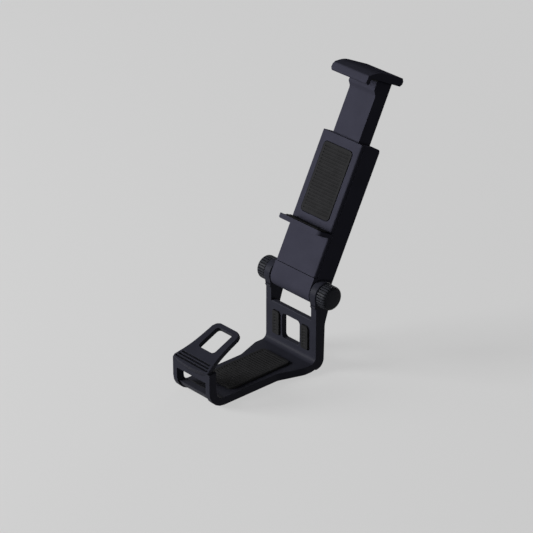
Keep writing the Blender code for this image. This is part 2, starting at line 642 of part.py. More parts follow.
def make_jaw_pads():
    """Make the pads on the ledge and on the back plate."""
    low_u = LEDGE_TOP_U - PAD_SINK
    ledge_pad = prism("lower_jaw_pad", ledge_pad_outline(0.0), low_u, low_u + PAD_THICKNESS, "Z")
    back_y = -(ARM_FRONT_N - PAD_SINK)
    back_pad = prism("back_pad", back_pad_outline(0.0), back_y - PAD_THICKNESS / 2.0, back_y, "Y")
    return [ledge_pad, back_pad]


def hood_outline():
    """Side outline of the hood: drooping lip, brow, crowned top and a thumb tab at the back."""
    lip_u = HOOD_UNDER_U - HOOD_LIP_DROP
    return front(fillet([
        (HOOD_LIP_INNER_N, lip_u, RIM),
        (HOOD_LIP_OUTER_N, lip_u, HOOD_RIM),
        (HOOD_BROW_N, HOOD_UNDER_U + HOOD_BROW_RISE, HOOD_RIM),
        (HOOD_CROWN_N, HOOD_UNDER_U + HOOD_CROWN_RISE, HOOD_CROWN_RADIUS),
        (HOOD_TAB_N, HOOD_UNDER_U + HOOD_TAB_RISE, HOOD_RIM),
        (HOOD_TAB_N, HOOD_UNDER_U, HOOD_RIM),
        (HOOD_LIP_INNER_N, HOOD_UNDER_U, RIM),
    ]))


def make_slider():
    """Make the channel-shaped slider, with its screw bosses and the holes of its pin."""
    root_u = HOOD_UNDER_U + HOOD_TAB_RISE / 2.0
    outline = front(fillet([
        (SLIDER_FRONT_N, SLIDER_BOTTOM_U, RIM), (SLIDER_FRONT_N, HEEL_BOTTOM_U, HEEL_STEP),
        (HEEL_N, HEEL_BOTTOM_U + HEEL_STEP, HEEL_STEP / 2.0), (HEEL_N, root_u, 0.0),
        (SLIDER_REAR_N, root_u, 0.0), (SLIDER_REAR_N, SLIDER_BOTTOM_U, RIM)]))
    slider = prism("slider", outline, -SLIDER_HALF_WIDTH, SLIDER_HALF_WIDTH, rim=RIM)
    pocket_x = SLIDER_HALF_WIDTH - SLIDER_WALL
    pocket_front_y = -(SLIDER_FRONT_N - SLIDER_WALL)
    cut(slider, block("pocket", (-pocket_x, pocket_front_y, 0.0), (pocket_x, LONG, SLIDER_POCKET_TOP_U)))
    cover_inner_y = -SLIDER_REAR_N - SLIDER_COVER_THICKNESS - GAP
    for u in SLIDER_SCREW_US:
        join(slider, disc("boss", (0.0, u), BOSS_RADIUS, pocket_front_y - SLIDER_WALL / 2.0, cover_inner_y, "Y", 16))
        cut(slider, disc("pilot", (0.0, u), SCREW_RADIUS + GAP / 2.0, pocket_front_y, LONG, "Y", 12))
    cut(slider, disc("pin_seat", (-SPRING_N, PIN_HIGH_U), PIN_RADIUS + GAP, -LONG, LONG, steps=16))
    return slider


def make_upper_jaw():
    """Make the upper jaw in one moulding: hood and slider, with a pocket for the hood's pad."""
    jaw = prism("upper_jaw", hood_outline(), -HOOD_HALF_WIDTH, HOOD_HALF_WIDTH, rim=HOOD_RIM, rim_steps=3)
    join(jaw, make_slider())
    cut(jaw, prism("pad_pocket", hood_pad_outline(GAP), HOOD_UNDER_U - HOOD_LIP_DROP,
                   HOOD_UNDER_U + PAD_POCKET_DEPTH, "Z"))
    return jaw


def hood_pad_outline(margin):
    """Plan of the pad under the hood, or of its pocket with a margin."""
    front_y = -(HOOD_LIP_INNER_N - PAD_MARGIN) - margin
    rear_y = -(HEEL_N + PAD_MARGIN) + margin
    return rounded_box(HOOD_PAD_HALF_WIDTH + margin, front_y, rear_y, PAD_CORNER_RADIUS)


def make_hood_pad():
    """Make the pad under the hood."""
    top = HOOD_UNDER_U + PAD_SINK
    return prism("upper_jaw_pad", hood_pad_outline(0.0), top - PAD_THICKNESS, top, "Z")


def make_slider_cover():
    """Make the cover that closes the slider's channel from behind."""
    half_x = SLIDER_HALF_WIDTH - SLIDER_WALL - GAP
    rear_y = -SLIDER_REAR_N
    low_u = SLIDER_BOTTOM_U + SLIDER_COVER_INSET
    high_u = SLIDER_POCKET_TOP_U - GAP
    outline = fillet([(-half_x, low_u, PAD_CORNER_RADIUS), (half_x, low_u, PAD_CORNER_RADIUS),
                      (half_x, high_u, 0.0), (-half_x, high_u, 0.0)])
    cover = prism("slider_cover", outline, rear_y - SLIDER_COVER_THICKNESS, rear_y, "Y")
    for u in SLIDER_SCREW_US:
        cut(cover, disc("hole", (0.0, u), SCREW_RADIUS + GAP, 0.0, LONG, "Y", 12))
        cut(cover, disc("head", (0.0, u), SCREW_HEAD_RADIUS + GAP, rear_y - SCREW_HEAD_THICKNESS - GAP,
                        LONG, "Y", 16))
    return cover


def make_screw(name, place, rear_y, length):
    """Turn a flat-headed screw that enters from the rear at (x, u)."""
    x, u = place
    head_back = rear_y - GAP / 2.0
    head_front = head_back - SCREW_HEAD_THICKNESS + GAP / 2.0
    screw = disc(name, (x, u), SCREW_HEAD_RADIUS, head_front, head_back, "Y", 16)
    join(screw, disc("shank", (x, u), SCREW_RADIUS, head_back - length, (head_front + head_back) / 2.0, "Y", 8))
    return screw


def make_pin(name, half_length, height_u):
    """Make a cross pin that holds the spring hooks."""
    return disc(name, (-SPRING_N, height_u), PIN_RADIUS, -half_length, half_length, steps=12)


def spring_hook(pin_u, start, end):
    """Centre line of a hook that bends round a pin, from one angle to another."""
    radius = PIN_RADIUS + SPRING_WIRE_RADIUS + GAP
    bend = arc((0.0, pin_u), radius, start, end, 9)
    return [(0.0, y, u) for y, u in bend]


def spring_path():
    """Centre line of a spring: a hook round each pin and an open coil between them."""
    low_coil = PIN_LOW_U + SPRING_HOOK_REACH
    high_coil = PIN_HIGH_U - SPRING_HOOK_REACH
    steps = SPRING_TURNS * SPRING_TURN_STEPS
    coil = []
    for i in range(steps + 1):
        turn = 2.0 * math.pi * i / SPRING_TURN_STEPS
        coil.append((SPRING_COIL_RADIUS * math.sin(turn), SPRING_COIL_RADIUS * math.cos(turn),
                     low_coil + (high_coil - low_coil) * i / steps))
    return spring_hook(PIN_LOW_U, -HOOK_TURN, 0.0) + coil + spring_hook(PIN_HIGH_U, 0.0, HOOK_TURN)


def make_spring(name, x):
    """Sweep round wire along the spring's path."""
    curve = bpy.data.curves.new(name, "CURVE")
    curve.dimensions = "3D"
    curve.bevel_depth = SPRING_WIRE_RADIUS
    curve.bevel_resolution = 1
    curve.use_fill_caps = True
    spline = curve.splines.new("POLY")
    path = spring_path()
    spline.points.add(len(path) - 1)
    for point, (dx, dy, dz) in zip(spline.points, path):
        point.co = (x + dx, -SPRING_N + dy, dz, 1.0)
    guide = bpy.data.objects.new("spring_path", curve)
    bpy.context.scene.collection.objects.link(guide)
    bpy.context.view_layer.update()
    mesh = bpy.data.meshes.new_from_object(guide.evaluated_get(bpy.context.evaluated_depsgraph_get()))
    bpy.data.objects.remove(guide, do_unlink=True)
    spring = bpy.data.objects.new(name, mesh)
    bpy.context.scene.collection.objects.link(spring)
    return spring


def make_washer(name, sign):
    """Make a friction washer that lies in the counterbore of the barrel."""
    inner = ARM_HALF_WIDTH - WASHER_THICKNESS + GAP
    low, high = sorted((sign * inner, sign * (inner + WASHER_THICKNESS)))
    washer = disc(name, (0.0, 0.0), WASHER_RADIUS, low, high, steps=32)
    cut(washer, disc("hole", (0.0, 0.0), AXLE_RADIUS + GAP, -LONG, LONG, steps=24))
    return washer


def groove_share(step):
    """How deep the knob's rim is cut at a step round it, from 0 on a rib to 1 in a groove."""
    return KNOB_GROOVE_SHAPE[step % len(KNOB_GROOVE_SHAPE)]


def hexagon(flats, margin=0.0):
    """Outline of a hexagon of a given size across its flats."""
    radius = (flats / 2.0 + margin) / math.cos(math.pi / 6.0)
    return arc((0.0, 0.0), radius, 0.0, 2.0 * math.pi, 6)[:-1]


def make_knob(name, sign):
    """Make a ribbed knob with a rounded outer edge and a hexagonal pocket inside."""
    arc_x = KNOB_OUTER_X - KNOB_EDGE_RADIUS
    rings = [(KNOB_INNER_X, KNOB_RADIUS - KNOB_CHAMFER, 0.6), (KNOB_INNER_X + KNOB_CHAMFER, KNOB_RADIUS, 1.0)]
    for i in range(KNOB_EDGE_STEPS + 1):
        turn = math.pi / 2.0 * i / KNOB_EDGE_STEPS
        rings.append((arc_x + KNOB_EDGE_RADIUS * math.sin(turn),
                      KNOB_RADIUS - KNOB_EDGE_RADIUS * (1.0 - math.cos(turn)), math.cos(turn)))
    steps = KNOB_RIBS * len(KNOB_GROOVE_SHAPE)
    bm = bmesh.new()
    rows = []
    for x, radius, depth in rings:
        row = []
        for step in range(steps):
            turn = 2.0 * math.pi * step / steps
            r = radius - KNOB_GROOVE_DEPTH * depth * groove_share(step)
            row.append(bm.verts.new((sign * x, r * math.cos(turn), r * math.sin(turn))))
        rows.append(row)
    for low, high in zip(rows, rows[1:]):
        for step in range(steps):
            after = (step + 1) % steps
            bm.faces.new((low[step], low[after], high[after], high[step]))
    bm.faces.new(rows[0])
    bm.faces.new(rows[-1])
    knob = new_object(name, bm)
    low, high = sorted((sign * EAR_INNER_X, sign * (KNOB_INNER_X + AXLE_HEAD_THICKNESS + 2.0 * GAP)))
    cut(knob, prism("pocket", hexagon(AXLE_HEAD_FLATS, GAP), low, high))
    return knob


def make_axle_bolt():
    """Make the bolt through both ears, with its hexagonal head in the left knob."""
    head_inner = KNOB_INNER_X + GAP / 2.0
    bolt = prism("axle_bolt", hexagon(AXLE_HEAD_FLATS), -head_inner - AXLE_HEAD_THICKNESS, -head_inner,
                 rim=FINE_RIM)
    tip = EAR_OUTER_X + AXLE_HEAD_THICKNESS
    join(bolt, disc("shank", (0.0, 0.0), AXLE_RADIUS, -head_inner - AXLE_HEAD_THICKNESS / 2.0, tip, steps=24))
    return bolt


def make_axle_nut():
    """Make the hexagonal nut in the right knob."""
    inner = KNOB_INNER_X + GAP / 2.0
    nut = prism("axle_nut", hexagon(AXLE_HEAD_FLATS), inner, inner + AXLE_HEAD_THICKNESS, rim=FINE_RIM)
    cut(nut, disc("hole", (0.0, 0.0), AXLE_RADIUS + GAP, -LONG, LONG, steps=24))
    return nut


def make_axis(name, lean):
    """Make an empty on the hinge axis, leaned back by an angle about X."""
    empty = bpy.data.objects.new(name, None)
    empty.empty_display_size = ARM_HALF_WIDTH
    empty.location = (0.0, HINGE_Y, HINGE_Z)
    empty.rotation_euler = (-lean, 0.0, 0.0)
    bpy.context.scene.collection.objects.link(empty)
    return empty


def build():
    """Build every piece and hang it on the axis that it moves with."""
    clear_scene()
    finishes = make_finishes()
    arm_axis = make_axis("arm_axis", ARM_LEAN)
    slide_axis = make_axis("slide_axis", ARM_LEAN)
    knob_axis = make_axis("knob_axis", 0.0)

    finish(make_cradle(), finishes["charcoal_cradle"])
    for pad in make_cradle_pads():
        finish(pad, finishes["black_rubber"])

    finish(make_rear_shell(), finishes["charcoal_shell"], arm_axis)
    finish(make_front_cover(), finishes["charcoal_shell"], arm_axis)
    finish(make_lower_jaw(), finishes["charcoal_shell"], arm_axis)
    for pad in make_jaw_pads():
        finish(pad, finishes["black_rubber"], arm_axis)
    for i, place in enumerate(boss_places()):
        screw = make_screw("cover_screw_%d" % (i + 1), place, -ARM_REAR_N, COVER_SCREW_LENGTH)
        finish(screw, finishes["steel"], arm_axis, True)
    low_pin_half = ARM_INNER_X + PIN_SEAT_DEPTH - GAP
    finish(make_pin("lower_spring_pin", low_pin_half, PIN_LOW_U), finishes["steel"], arm_axis, True)
    for side, sign in mirror_sides():
        finish(make_spring("spring_" + side, sign * SPRING_X), finishes["steel"], arm_axis, True)
        finish(make_washer("washer_" + side, sign), finishes["nylon"], arm_axis, True)

    finish(make_upper_jaw(), finishes["charcoal_shell"], slide_axis)
    finish(make_slider_cover(), finishes["charcoal_shell"], slide_axis)
    finish(make_hood_pad(), finishes["black_rubber"], slide_axis)
    finish(make_pin("upper_spring_pin", SLIDER_HALF_WIDTH - GAP, PIN_HIGH_U), finishes["steel"],
           slide_axis, True)
    for i, u in enumerate(SLIDER_SCREW_US):
        screw = make_screw("slider_screw_%d" % (i + 1), (0.0, u), -SLIDER_REAR_N, SLIDER_SCREW_LENGTH)
        finish(screw, finishes["steel"], slide_axis, True)

    for side, sign in mirror_sides():
        finish(make_knob("knob_" + side, sign), finishes["black_knob"], knob_axis, True)
    finish(make_axle_bolt(), finishes["steel"], knob_axis, True)
    finish(make_axle_nut(), finishes["steel"], knob_axis, True)


build()
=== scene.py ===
"""Looks of a clip-on holder: mouldings, knobs, grip pads, springs, screws, finishes, studio and camera."""

import json
import logging
import math
from dataclasses import dataclass, field
from enum import Enum
from typing import Callable

import bpy
from mathutils import Matrix, Vector


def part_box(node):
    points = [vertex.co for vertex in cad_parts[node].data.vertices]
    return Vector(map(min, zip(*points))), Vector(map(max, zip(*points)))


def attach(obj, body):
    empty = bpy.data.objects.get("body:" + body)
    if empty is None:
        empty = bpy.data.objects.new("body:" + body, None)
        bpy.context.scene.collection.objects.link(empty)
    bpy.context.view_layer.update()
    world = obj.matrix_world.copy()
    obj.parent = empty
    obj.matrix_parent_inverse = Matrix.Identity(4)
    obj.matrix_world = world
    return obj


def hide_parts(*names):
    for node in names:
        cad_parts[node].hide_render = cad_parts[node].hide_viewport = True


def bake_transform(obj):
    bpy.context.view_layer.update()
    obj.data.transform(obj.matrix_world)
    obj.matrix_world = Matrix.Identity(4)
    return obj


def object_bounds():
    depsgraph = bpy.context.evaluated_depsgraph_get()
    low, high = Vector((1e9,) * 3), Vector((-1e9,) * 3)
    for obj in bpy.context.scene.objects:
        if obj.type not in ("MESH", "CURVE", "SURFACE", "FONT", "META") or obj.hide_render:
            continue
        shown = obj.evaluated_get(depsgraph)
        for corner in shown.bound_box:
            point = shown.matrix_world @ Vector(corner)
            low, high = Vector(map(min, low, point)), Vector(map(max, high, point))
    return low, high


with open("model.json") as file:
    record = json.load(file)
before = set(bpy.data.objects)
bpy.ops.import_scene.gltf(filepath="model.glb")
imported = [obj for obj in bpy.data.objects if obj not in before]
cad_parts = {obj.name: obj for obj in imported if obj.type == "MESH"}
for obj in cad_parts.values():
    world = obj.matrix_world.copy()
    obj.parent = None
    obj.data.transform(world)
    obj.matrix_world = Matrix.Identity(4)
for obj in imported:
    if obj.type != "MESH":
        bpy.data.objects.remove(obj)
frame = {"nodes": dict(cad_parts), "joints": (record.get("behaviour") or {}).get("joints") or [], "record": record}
cad_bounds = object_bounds()

log = logging.getLogger("holder")

Triple = tuple[float, float, float]
Colour = Triple
Socket = bpy.types.NodeSocket

MM = 0.001

# The arm's own frame: X is the hinge, -Y its front and Z runs up the arm
ARM_TILT = next(joint for joint in frame["joints"] if joint["name"] == "arm_tilt")
JAW_SLIDE = next(joint for joint in frame["joints"] if joint["name"] == "jaw_slide")
HINGE = Vector(ARM_TILT["pos_m"])
ARM_UP = Vector(JAW_SLIDE["axis"])
ARM_LEAN = math.atan2(ARM_UP.y, ARM_UP.z)
ARM_FRAME = Matrix.Translation(HINGE) @ Matrix.Rotation(-ARM_LEAN, 4, "X")

# Most of a noise's values lie between these two
NOISE_LOW = 0.3
NOISE_HIGH = 0.7

# A colour Mix node's sockets go by number, because their names repeat
MIX_SHARE = 0
MIX_LOW = 6
MIX_HIGH = 7
MIX_RESULT = 2

# Rays that look for a near edge, and for a hollow, from each point
EDGE_SAMPLES = 6
HOLLOW_SAMPLES = 8

# In a solid's mesh, points this near are merged, and faces that turn by fewer degrees are joined
MERGE_REACH = 0.002 * MM
FLAT_ANGLE = 0.2

# A face looks along an axis where its normal reaches this far along it
FACING = 0.9


class Body(Enum):
    """Bodies of the frame that the pieces ride on."""

    CRADLE = "cradle"
    ARM = "arm"
    JAW = "jaw"
    LEFT_KNOB = "left_knob"
    RIGHT_KNOB = "right_knob"


class Slot(Enum):
    """Material slots of the record."""

    CRADLE_SHELL = "cradle_shell"
    ARM_SHELL = "arm_shell"
    KNOB_PLASTIC = "knob_plastic"
    RUBBER_PAD = "rubber_pad"
    SPRING_STEEL = "spring_steel"
    PIN_STEEL = "pin_steel"
    SCREW_STEEL = "screw_steel"
    WASHER_NYLON = "washer_nylon"


class Work(Enum):
    """What a tool does to a piece, in Blender's word for it."""

    JOIN = "UNION"
    CUT = "DIFFERENCE"


class Lie(Enum):
    """Which way a new rod lies, as its turn about the Y axis."""

    UP = 0.0
    ACROSS = math.pi / 2.0


def scaled(colour: Colour, factor: float) -> Colour:
    """Return a colour times a factor, no brighter than white."""
    return tuple(min(value * factor, 1.0) for value in colour)


class NodeTree:
    """The nodes of a material or a world, with short calls that add and join them."""

    def __init__(self, owner: bpy.types.Material | bpy.types.World, shader: str = "Principled BSDF") -> None:
        """Start from the nodes that Blender gives a new material or world.

        Args:
            owner: the material or world.
            shader: the name of its shader node.
        """
        owner.use_nodes = True
        self.owner = owner
        self.tree = owner.node_tree
        self.shader = self.tree.nodes[shader]

    def add(self, kind: str, **values: object) -> bpy.types.Node:
        """Add a node and set its properties.

        Args:
            kind: the node's type name.
            values: properties of the node and their values.

        Returns:
            The new node.
        """
        node = self.tree.nodes.new(kind)
        for key, value in values.items():
            setattr(node, key, value)
        return node

    def join(self, start: Socket, end: Socket) -> None:
        """Join an output socket to an input socket."""
        self.tree.links.new(start, end)

    def feed(self, end: Socket, colour: Socket | Colour) -> None:
        """Join a colour's socket to an input socket, or set the input to a plain colour.

        Args:
            end: the input socket.
            colour: the output socket or the plain colour, linear.
        """
        if isinstance(colour, Socket):
            self.join(colour, end)
        else:
            end.default_value = (*colour, 1.0)

    def set(self, name: str, value: float) -> None:
        """Set one of the shader's own numbers."""
        self.shader.inputs[name].default_value = value

    def place(self) -> Socket:
        """Return the piece's own coordinates, in metres."""
        return self.add("ShaderNodeTexCoord").outputs["Object"]

    def noise(self, size: float, detail: float = 2.0, stretch: Triple = (1.0, 1.0, 1.0)) -> Socket:
        """Add noise whose grains have a given size.

        Args:
            size: width of a grain in metres.
            detail: how many finer layers lie on it.
            stretch: a factor for each axis; where it is under 1, the grains are longer that way.

        Returns:
            The noise's value, about 0.5 on average.
        """
        mapping = self.add("ShaderNodeMapping")
        mapping.inputs["Scale"].default_value = stretch
        noise = self.add("ShaderNodeTexNoise")
        noise.inputs["Scale"].default_value = 1.0 / size
        noise.inputs["Detail"].default_value = detail
        self.join(self.place(), mapping.inputs["Vector"])
        self.join(mapping.outputs["Vector"], noise.inputs["Vector"])
        return noise.outputs["Fac"]

    def ramp(self, value: Socket, start: float, end: float, low: float = 0.0, high: float = 1.0) -> Socket:
        """Turn one range of a value into another, and hold the result at its ends.

        Args:
            value: the value.
            start: the value that becomes low.
            end: the value that becomes high.
            low: the result at start and before it.
            high: the result at end and past it.

        Returns:
            The result.
        """
        ramp = self.add("ShaderNodeMapRange")
        ramp.inputs["From Min"].default_value = start
        ramp.inputs["From Max"].default_value = end
        ramp.inputs["To Min"].default_value = low
        ramp.inputs["To Max"].default_value = high
        self.join(value, ramp.inputs["Value"])
        return ramp.outputs["Result"]

    def spread(self, noise: Socket, low: float = 0.0, high: float = 1.0) -> Socket:
        """Spread a noise's value over a range."""
        return self.ramp(noise, NOISE_LOW, NOISE_HIGH, low, high)

    def vary(self, noise: Socket, middle: float, change: float) -> Socket:
        """Let a noise move a number up and down from its middle."""
        return self.spread(noise, middle - change, middle + change)

    def blend(self, share: Socket, low: Socket | Colour, high: Socket | Colour) -> Socket:
        """Blend between two colours.

        Args:
            share: 0 for the first colour and 1 for the second.
            low: the first colour, as a socket or linear.
            high: the second colour, as a socket or linear.

        Returns:
            The blended colour.
        """
        mix = self.add("ShaderNodeMix", data_type="RGBA")
        self.join(share, mix.inputs[MIX_SHARE])
        self.feed(mix.inputs[MIX_LOW], low)
        self.feed(mix.inputs[MIX_HIGH], high)
        return mix.outputs[MIX_RESULT]

    def soft_edge(self, radius: float) -> Socket:
        """Add a normal that rounds the piece's edges.

        Args:
            radius: the radius of the rounding, in metres.

        Returns:
            The rounded normal.
        """
        bevel = self.add("ShaderNodeBevel", samples=EDGE_SAMPLES)
        bevel.inputs["Radius"].default_value = radius
        return bevel.outputs["Normal"]

    def edge_share(self, normal: Socket, reach: float) -> Socket:
        """Tell how near a point is to an edge.

        Args:
            normal: the rounded normal from soft_edge.
            reach: how far the rounded normal may lean before the share is 1.

        Returns:
            0 on a flat face and up to 1 on an edge.
        """
        dot = self.add("ShaderNodeVectorMath", operation="DOT_PRODUCT")
        self.join(self.add("ShaderNodeNewGeometry").outputs["Normal"], dot.inputs[0])
        self.join(normal, dot.inputs[1])
        return self.ramp(dot.outputs["Value"], 1.0, 1.0 - reach)

    def open_share(self, reach: float, closed: float, opened: float) -> Socket:
        """Tell how open a point lies, from its hidden corners to its free faces.

        Args:
            reach: how far around the point counts, in metres.
            closed: the openness, of 0 to 1, at and under which the share is 0.
            opened: the openness at and over which the share is 1.

        Returns:
            0 deep in a groove or seam and 1 on an open face.
        """
        hollow = self.add("ShaderNodeAmbientOcclusion", samples=HOLLOW_SAMPLES, only_local=True)
        hollow.inputs["Distance"].default_value = reach
        return self.ramp(hollow.outputs["AO"], closed, opened)

    def bump(self, height: Socket, depth: float, strength: float, normal: Socket | None = None) -> Socket:
        """Turn a height into a bumped normal.

        Args:
            height: the height, from 0 to 1.
            depth: how deep the height reaches, in metres.
            strength: how strongly it shows.
            normal: the normal below it, or None for the surface's own.

        Returns:
            The bumped normal.
        """
        bump = self.add("ShaderNodeBump")
        bump.inputs["Strength"].default_value = strength
        bump.inputs["Distance"].default_value = depth
        self.join(height, bump.inputs["Height"])
        if normal is not None:
            self.join(normal, bump.inputs["Normal"])
        return bump.outputs["Normal"]

    def seen(self) -> Socket:
        """Tell what is seen from what only lights.

        Returns:
            1 for what the camera, a reflection or a clear piece sees, and 0 for other light.
        """
        path = self.add("ShaderNodeLightPath")
        total = path.outputs["Is Camera Ray"]
        for name in ("Is Glossy Ray", "Is Transmission Ray"):
            more = self.add("ShaderNodeMath", operation="MAXIMUM")
            self.join(total, more.inputs[0])
            self.join(path.outputs[name], more.inputs[1])
            total = more.outputs["Value"]
        return total

    def surface(self, colour: Socket, roughness: Socket, normal: Socket) -> None:
        """Join a colour, a roughness and a normal to the shader.

        Args:
            colour: the colour.
            roughness: the roughness.
            normal: the normal.
        """
        self.join(colour, self.shader.inputs["Base Color"])
        self.join(roughness, self.shader.inputs["Roughness"])
        self.join(normal, self.shader.inputs["Normal"])


@dataclass(frozen=True)
class MouldedPlastic:
    """Plastic from a spark-eroded mould: fine grain, faint clouds, painted edge highlight, painted groove shade.
    """

    name: str
    colour: Colour
    roughness: float
    specular: float
    sheen_change: float = 0.04
    grain_size: float = 0.16 * MM
    grain_depth: float = 0.02 * MM
    grain_strength: float = 0.5
    cloud_size: float = 9.0 * MM
    cloud_detail: float = 3.0
    cloud_change: float = 0.06
    edge_radius: float = 0.3 * MM
    edge_reach: float = 0.25
    # Painted highlight: how much lighter the colour is made on rounded edges
    painted_edge_highlight: float = 1.5
    # Painted shade: how far the hollow test reaches, and how dark closed-in grooves, seams and corners are made
    hollow_shade_reach: float = 1.6 * MM
    hollow_shade_closed: float = 0.58
    hollow_shade_opened: float = 0.95
    painted_hollow_shade: float = 0.22

    def make(self) -> bpy.types.Material:
        """Make the material.

        Returns:
            The material.
        """
        tree = NodeTree(bpy.data.materials.new(self.name))
        clouds = tree.noise(self.cloud_size, self.cloud_detail)
        dark = scaled(self.colour, 1.0 - self.cloud_change)
        light = scaled(self.colour, 1.0 + self.cloud_change)
        body = tree.blend(tree.spread(clouds), dark, light)
        rounded = tree.soft_edge(self.edge_radius)
        edge = tree.edge_share(rounded, self.edge_reach)
        # Painted highlight: the colour is made lighter on rounded edges, where a glint would fall.
        edge_highlighted = tree.blend(edge, body, scaled(self.colour, self.painted_edge_highlight))
        # Painted shade: the colour is darkened in grooves, seams and corners that the hollow test finds closed in.
        opened = tree.open_share(self.hollow_shade_reach, self.hollow_shade_closed, self.hollow_shade_opened)
        hollow_shaded = tree.blend(opened, scaled(self.colour, self.painted_hollow_shade), edge_highlighted)
        roughness = tree.vary(clouds, self.roughness, self.sheen_change)
        grain = tree.bump(tree.noise(self.grain_size), self.grain_depth, self.grain_strength, rounded)
        tree.surface(hollow_shaded, roughness, grain)
        tree.set("Specular IOR Level", self.specular)
        return tree.owner


@dataclass(frozen=True)
class GripRubber:
    """Matte black rubber with a fine grain and dusty smears."""

    name: str
    colour: Colour
    roughness: float = 0.80
    specular: float = 0.2
    sheen_change: float = 0.06
    grain_size: float = 0.14 * MM
    grain_depth: float = 0.012 * MM
    grain_strength: float = 0.5
    smear_size: float = 5.0 * MM
    smear_detail: float = 4.0
    smear_lift: float = 1.5
    edge_radius: float = 0.1 * MM

    def make(self) -> bpy.types.Material:
        """Make the material.

        Returns:
            The material.
        """
        tree = NodeTree(bpy.data.materials.new(self.name))
        smears = tree.spread(tree.noise(self.smear_size, self.smear_detail))
        colour = tree.blend(smears, self.colour, scaled(self.colour, self.smear_lift))
        grain = tree.noise(self.grain_size)
        roughness = tree.vary(grain, self.roughness, self.sheen_change)
        rounded = tree.soft_edge(self.edge_radius)
        tree.surface(colour, roughness, tree.bump(grain, self.grain_depth, self.grain_strength, rounded))
        tree.set("Specular IOR Level", self.specular)
        return tree.owner


@dataclass(frozen=True)
class PlatedSteel:
    """Zinc-plated or drawn steel with faint stains, and fine lines the way that stretch is under 1."""

    name: str
    colour: Colour
    roughness: float
    stretch: Triple = (1.0, 1.0, 0.08)
    sheen_gain: float = 0.06
    sheen_loss: float = 0.08
    line_size: float = 0.08 * MM
    line_depth: float = 0.004 * MM
    line_strength: float = 0.4
    stain_size: float = 1.6 * MM
    stain_detail: float = 3.0
    stain_dark: float = 0.86
    edge_radius: float = 0.1 * MM

    def make(self) -> bpy.types.Material:
        """Make the material.

        Returns:
            The material.
        """
        tree = NodeTree(bpy.data.materials.new(self.name))
        stains = tree.spread(tree.noise(self.stain_size, self.stain_detail))
        colour = tree.blend(stains, scaled(self.colour, self.stain_dark), self.colour)
        lines = tree.noise(self.line_size, stretch=self.stretch)
        roughness = tree.spread(lines, self.roughness - self.sheen_gain, self.roughness + self.sheen_loss)
        rounded = tree.soft_edge(self.edge_radius)
        tree.surface(colour, roughness, tree.bump(lines, self.line_depth, self.line_strength, rounded))
        tree.set("Metallic", 1.0)
        return tree.owner


@dataclass(frozen=True)
class NaturalNylon:
    """Milky nylon with a soft sheen and fine turning marks."""

    name: str
    colour: Colour
    roughness: float = 0.5
    sheen_change: float = 0.05
    cloud_size: float = 1.5 * MM
    cloud_dark: float = 0.93
    mark_size: float = 0.1 * MM
    mark_detail: float = 1.0
    mark_depth: float = 0.01 * MM
    mark_strength: float = 0.3

    def make(self) -> bpy.types.Material:
        """Make the material.

        Returns:
            The material.
        """
        tree = NodeTree(bpy.data.materials.new(self.name))
        clouds = tree.spread(tree.noise(self.cloud_size))
        colour = tree.blend(clouds, scaled(self.colour, self.cloud_dark), self.colour)
        marks = tree.noise(self.mark_size, self.mark_detail)
        roughness = tree.vary(marks, self.roughness, self.sheen_change)
        tree.surface(colour, roughness, tree.bump(marks, self.mark_depth, self.mark_strength))
        return tree.owner


FINISHES = {
    # The cradle's colour is darker than the arm's, partly as its own colour and partly as painted shade for its
    # front wall under the lip.
    Slot.CRADLE_SHELL: MouldedPlastic(
        "cradle_plastic", (0.033, 0.034, 0.047), roughness=0.45, specular=0.035),
    Slot.ARM_SHELL: MouldedPlastic(
        "arm_plastic", (0.058, 0.058, 0.082), roughness=0.60, specular=0.0),
    Slot.KNOB_PLASTIC: MouldedPlastic(
        "knob_plastic", (0.036, 0.038, 0.047), roughness=0.42, specular=0.05),
    Slot.RUBBER_PAD: GripRubber("grip_rubber", (0.014, 0.014, 0.015)),
    Slot.SPRING_STEEL: PlatedSteel("spring_wire", (0.56, 0.56, 0.58), roughness=0.26),
    Slot.PIN_STEEL: PlatedSteel("zinc_pin", (0.52, 0.52, 0.55), roughness=0.30, stretch=(0.08, 1.0, 1.0)),
    Slot.SCREW_STEEL: PlatedSteel("zinc_screw", (0.48, 0.48, 0.51), roughness=0.34, stretch=(1.0, 1.0, 1.0)),
    Slot.WASHER_NYLON: NaturalNylon("natural_nylon", (0.62, 0.60, 0.55)),
}


class Paintbox:
    """The finishes, each made once and handed out by slot."""

    def __init__(self) -> None:
        """Make every finish."""
        self.made = {slot: finish.make() for slot, finish in FINISHES.items()}

    def dress(self, piece: bpy.types.Object, slot: Slot) -> None:
        """Give a piece the finish of a slot."""
        piece.data.materials.clear()
        piece.data.materials.append(self.made[slot])

    def dress_frame(self) -> None:
        """Give every node of the frame the finish that the record names for it."""
        for part in frame["record"]["subparts"]:
            self.dress(frame["nodes"][part["node"]], Slot(part["material_slot"]))


